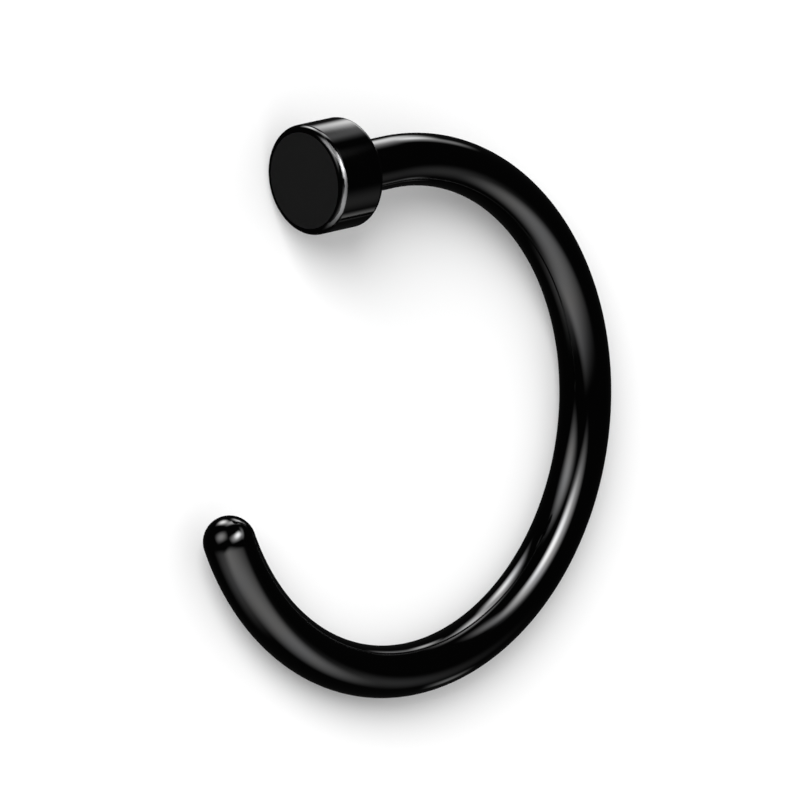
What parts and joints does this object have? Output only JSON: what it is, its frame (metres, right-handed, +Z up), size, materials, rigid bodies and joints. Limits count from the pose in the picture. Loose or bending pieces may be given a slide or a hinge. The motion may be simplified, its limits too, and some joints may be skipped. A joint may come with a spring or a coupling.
{
  "type": "open hoop nose ring",
  "caption": "Open C-shaped nose ring of round black steel wire, with a flat bevelled disc on one end and a rounded free tip on the other, lying on its side.",
  "frame": {"origin": "on the floor, at the middle of the lying ring's footprint", "axes": "+Z up; +Y from the hoop's mouth towards the middle of its arc, as seen from above; the disc is on the -X side of the mouth"},
  "size_m": [0.0086, 0.0084, 0.0017],
  "materials": {
    "coated_wire": "mirror-polished surgical steel with a black vapour-deposited coat",
    "coated_disc": "turned and polished surgical steel with a black vapour-deposited coat, the face slightly duller"
  },
  "bodies": {
    "root": {"hoop_wire": "coated_wire", "disc_stop": "coated_disc"}
  },
  "joints": []
}
